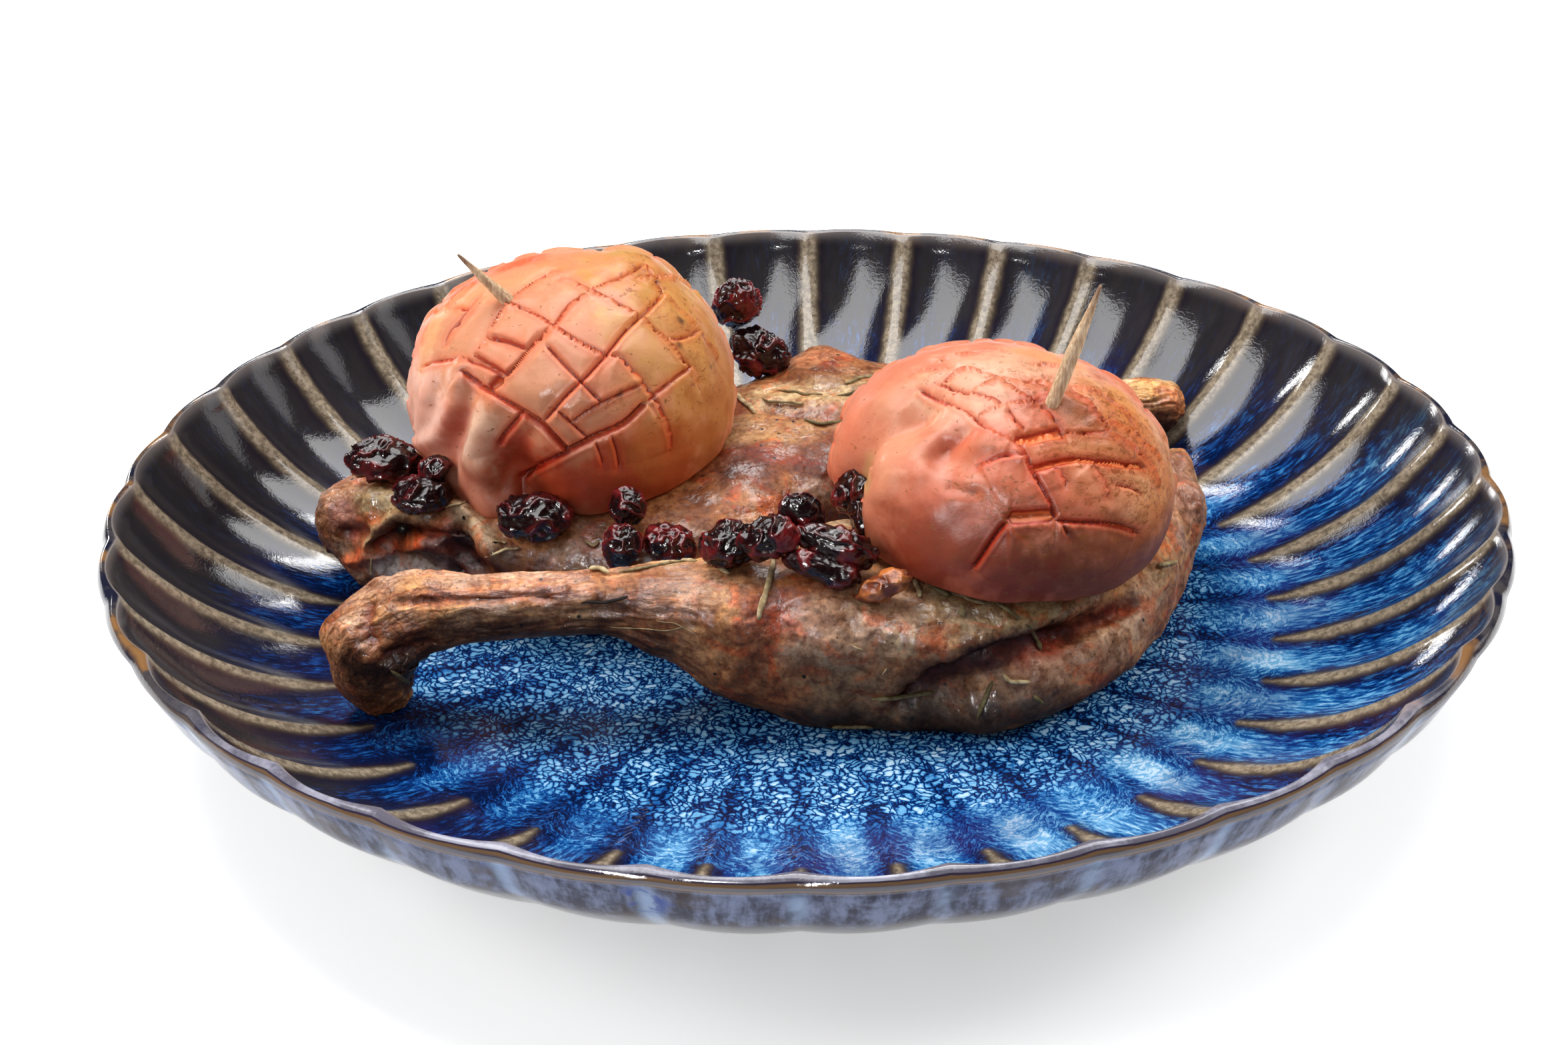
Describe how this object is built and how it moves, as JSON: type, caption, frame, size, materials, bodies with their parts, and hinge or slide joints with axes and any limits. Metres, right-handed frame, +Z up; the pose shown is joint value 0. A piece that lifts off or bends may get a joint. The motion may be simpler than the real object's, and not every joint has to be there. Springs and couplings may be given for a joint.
{
  "type": "plated roast duck legs",
  "caption": "Roast duck legs on a fluted glazed plate, with scored baked fruit halves held by wooden picks, dried cranberries and rosemary needles.",
  "frame": {"origin": "middle of the plate's foot ring, on the table", "axes": "+Z up; +Y away from the side where the front leg lies; +X towards that leg's thick end"},
  "size_m": [0.2672, 0.2672, 0.0861],
  "materials": {
    "glaze": "glossy mottled blue glaze over dark petals with tan ridges",
    "roast_meat": "roast skin and meat, moist and wrinkled",
    "baked_fruit": "moist peeled fruit with brown specks",
    "pick_wood": "plain pale wood, browned tip",
    "dried_berry": "glossy wrinkled skin",
    "dried_fruit": "sticky translucent dried fruit"
  },
  "bodies": {
    "root": {"plate": "glaze", "duck_leg_front": "roast_meat", "duck_leg_back": "roast_meat", "fruit_half_left": "baked_fruit", "pick_left": "pick_wood", "fruit_half_right": "baked_fruit", "pick_right": "pick_wood", "cranberry_back_high": "dried_berry", "cranberry_back_low": "dried_berry", "cranberry_left_high": "dried_berry", "cranberry_left_low": "dried_berry", "cranberry_left_small": "dried_berry", "cranberry_mid_high": "dried_berry", "cranberry_mid_low": "dried_berry", "cranberry_mid_right": "dried_berry", "cranberry_row_1": "dried_berry", "cranberry_row_2": "dried_berry", "cranberry_row_3": "dried_berry", "cranberry_row_4": "dried_berry", "cranberry_row_top": "dried_berry", "cranberry_stem_high": "dried_berry", "cranberry_stem_low": "dried_berry", "cranberry_under_left": "dried_berry", "fruit_piece": "dried_fruit"}
  },
  "joints": []
}
